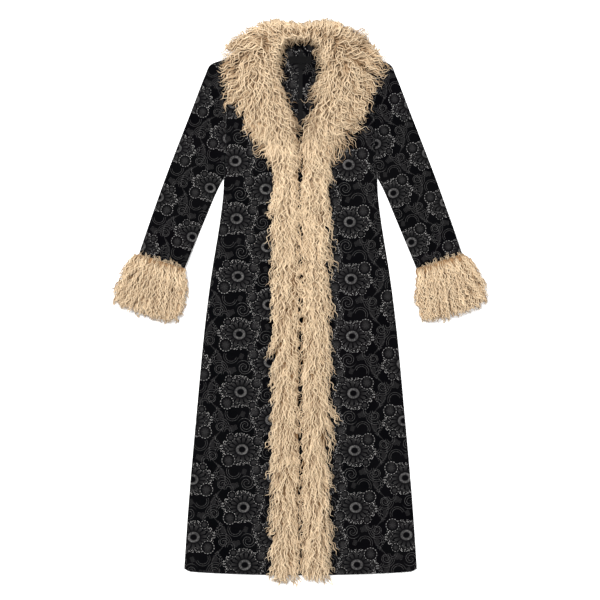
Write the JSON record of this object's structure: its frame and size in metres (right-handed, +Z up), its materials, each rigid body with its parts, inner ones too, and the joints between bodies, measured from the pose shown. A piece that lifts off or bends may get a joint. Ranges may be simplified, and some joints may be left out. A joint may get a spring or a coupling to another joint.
{
  "type": "afghan coat",
  "caption": "Long flared coat of dark flowered cloth with a shaggy fur collar, fur front edges and fur cuffs, laid flat face up.",
  "frame": {"origin": "the middle of the laid coat's footprint, on the surface that it lies on", "axes": "+Y from the hem to the collar, +X to the viewer's right, +Z up from the surface out of the coat's front"},
  "size_m": [0.9278, 1.4035, 0.0532],
  "materials": {
    "cloth": "matt black woven cloth with a grey and silver flower pattern",
    "fur": "long curly beige fur",
    "binding": "smooth charcoal binding tape",
    "label": "blank black woven label with a slight sheen"
  },
  "bodies": {
    "root": {"back_left": "cloth", "back_right": "cloth", "front_left": "cloth", "front_right": "cloth", "sleeve_left": "cloth", "sleeve_right": "cloth", "collar_left": "fur", "collar_right": "fur", "collar_back_fall": "fur", "front_trim_left": "fur", "front_trim_right": "fur", "cuff_left": "fur", "cuff_right": "fur", "back_seam_binding": "binding", "neck_label": "label", "size_tab": "label"}
  },
  "joints": []
}
